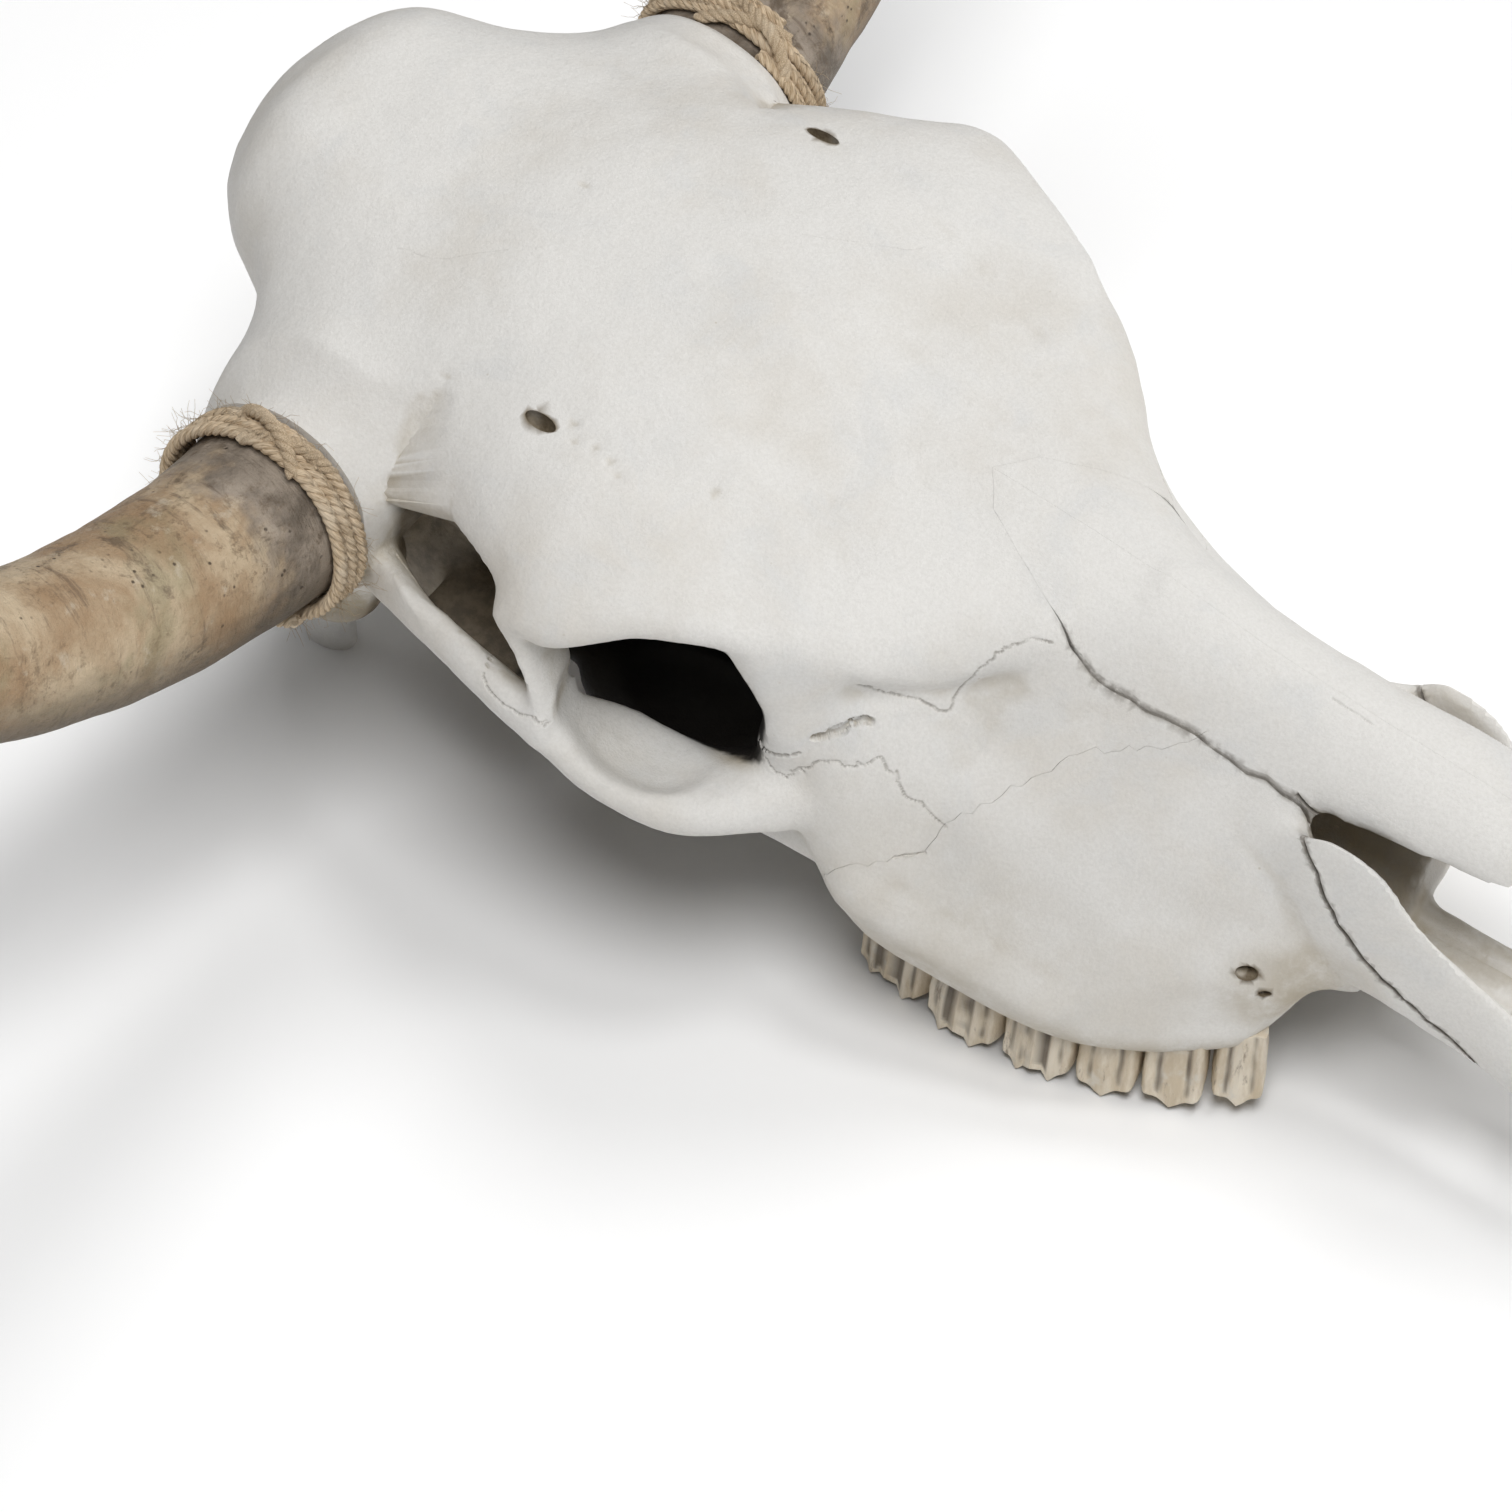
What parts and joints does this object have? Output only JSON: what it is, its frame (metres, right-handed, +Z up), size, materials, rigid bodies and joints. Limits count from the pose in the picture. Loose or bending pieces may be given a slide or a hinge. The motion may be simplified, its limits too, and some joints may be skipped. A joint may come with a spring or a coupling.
{
  "type": "cow skull",
  "caption": "Horned cow skull without its lower jaw, life size, with twine bound round the base of each horn; a natural-history display piece that lies on its cheek teeth.",
  "frame": {"origin": "middle of the skull's box in plan, on the floor it lies on", "axes": "+X to the animal's left, -Y to the muzzle, +Z up"},
  "size_m": [0.7189, 0.5295, 0.3314],
  "materials": {
    "bone": "bleached, dry and matt",
    "bone_and_teeth": "bleached bone with stained enamel teeth",
    "horn": "weathered, mottled and rough",
    "twine": "coarse natural fibre"
  },
  "bodies": {
    "root": {"cranium": "bone", "nasal_left": "bone", "nasal_right": "bone", "maxilla_left": "bone_and_teeth", "maxilla_right": "bone_and_teeth", "premaxilla_left": "bone", "premaxilla_right": "bone", "horn_left": "horn", "horn_right": "horn", "rope_left": "twine", "rope_right": "twine"}
  },
  "joints": []
}
